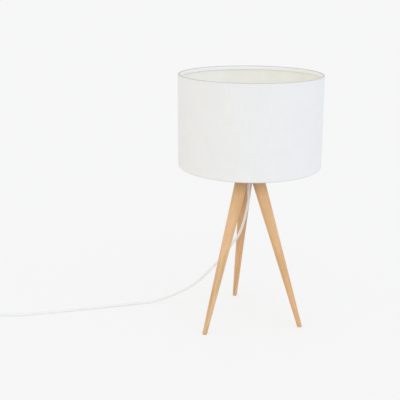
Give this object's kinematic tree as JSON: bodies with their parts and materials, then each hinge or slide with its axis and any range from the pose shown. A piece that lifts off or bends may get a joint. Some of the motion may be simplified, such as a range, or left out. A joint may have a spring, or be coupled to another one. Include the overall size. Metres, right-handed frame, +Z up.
{
  "type": "table lamp",
  "caption": "Table lamp with a white fabric drum shade on splayed, tapered round wooden legs, a bulb holder and bulb, and a white cord with a rocker switch and a plug.",
  "frame": {"origin": "on the floor below the shade's axis, at the centre of the circle that the feet stand on", "axes": "+Z up along the shade's axis, +Y towards the back leg, -X towards the side where the cord leaves"},
  "size_m": [0.8392, 0.28, 0.5092],
  "materials": {
    "oak": "matt clear lacquer",
    "felt": "felt",
    "white_steel": "white powder coat",
    "zinc_steel": "zinc plated",
    "brass": "plain",
    "copper": "plain",
    "white_plastic": "satin",
    "rocker_plastic": "satin",
    "core_ceramic": "unglazed",
    "bulb_glass": "frosted",
    "dark_glass": "plain",
    "shade_cloth": "plain weave",
    "lining": "matt film",
    "cord_jacket": "soft satin",
    "tie": "plain",
    "pin_sleeve": "plain"
  },
  "bodies": {
    "stand": {"leg_right": "oak", "leg_back": "oak", "leg_left": "oak", "foot_pad_right": "felt", "foot_pad_back": "felt", "foot_pad_left": "felt", "hub_plate": "white_steel", "leg_screws": "zinc_steel", "threaded_tube": "zinc_steel", "ring_nut": "zinc_steel", "hex_nut": "zinc_steel", "spacer_sleeve": "white_steel", "cord_grip": "white_plastic", "inner_lead": "cord_jacket", "holder_cap": "white_plastic", "holder_insert": "core_ceramic", "holder_skirt": "white_plastic", "screw_shell": "brass", "centre_contact": "brass", "terminal_screws": "brass", "holder_wires": "copper", "shade_nut": "white_plastic", "bulb_cap": "zinc_steel", "bulb_contact": "dark_glass", "bulb_glass": "bulb_glass", "cord_run": "cord_jacket", "switch_base": "white_plastic", "switch_cover": "white_plastic", "switch_contacts": "brass", "switch_leads": "copper", "switch_screws": "zinc_steel", "switch_sleeves": "cord_jacket", "cord_tail": "cord_jacket", "cord_coil": "cord_jacket", "cord_end": "cord_jacket", "coil_tie": "tie", "plug_grip": "cord_jacket", "plug_body": "white_plastic", "plug_pins": "zinc_steel", "plug_pin_sleeves": "pin_sleeve"},
    "shade": {"shade_fabric": "shade_cloth", "shade_lining": "lining", "shade_seam": "shade_cloth", "top_rim_wire": "zinc_steel", "bottom_rim_wire": "zinc_steel", "spider": "white_steel"},
    "rocker": {"switch_rocker": "rocker_plastic"}
  },
  "joints": [
    {"name": "shade_turn", "type": "hinge", "parent": "stand", "child": "shade", "pos_m": [0, 0, 0.34], "axis": [0, 0, 1], "continuous": true},
    {"name": "switch_press", "type": "hinge", "parent": "stand", "child": "rocker", "pos_m": [-0.561, 0.083, 0.0125], "axis": [0, 1, 0], "range_deg": [0, 16]}
  ]
}
